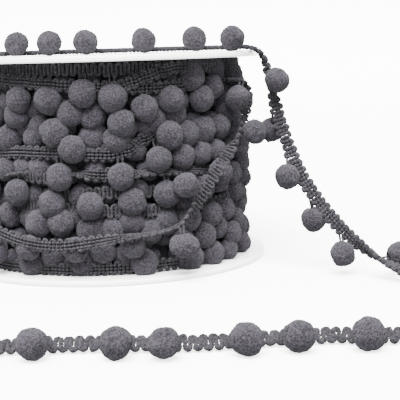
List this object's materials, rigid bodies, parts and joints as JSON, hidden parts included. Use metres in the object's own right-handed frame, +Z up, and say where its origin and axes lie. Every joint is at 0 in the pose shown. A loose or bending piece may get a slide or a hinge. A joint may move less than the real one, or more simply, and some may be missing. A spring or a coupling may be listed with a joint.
{
  "type": "pompom fringe trim wound on a two-flange reel",
  "caption": "Pompom fringe trim: flat knitted braid with small felt pompoms along one edge, wound on a plain white reel, one loose turn and one free end.",
  "frame": {"origin": "on the reel's axis, in the plane of the lower flange's underside, which is the table", "axes": "+Z up along the reel's axis, -Y towards the front, where the free end lies"},
  "size_m": [0.2416, 0.249, 0.1017],
  "materials": {
    "reel_plastic": "smooth white moulded plastic with a soft sheen",
    "trim_yarn": "dark grey matt yarn and short felted pile"
  },
  "bodies": {
    "root": {"reel_lower_flange": "reel_plastic", "reel_core": "reel_plastic", "reel_upper_flange": "reel_plastic", "wound_trim": "trim_yarn", "loose_turn": "trim_yarn", "free_end": "trim_yarn"}
  },
  "joints": []
}
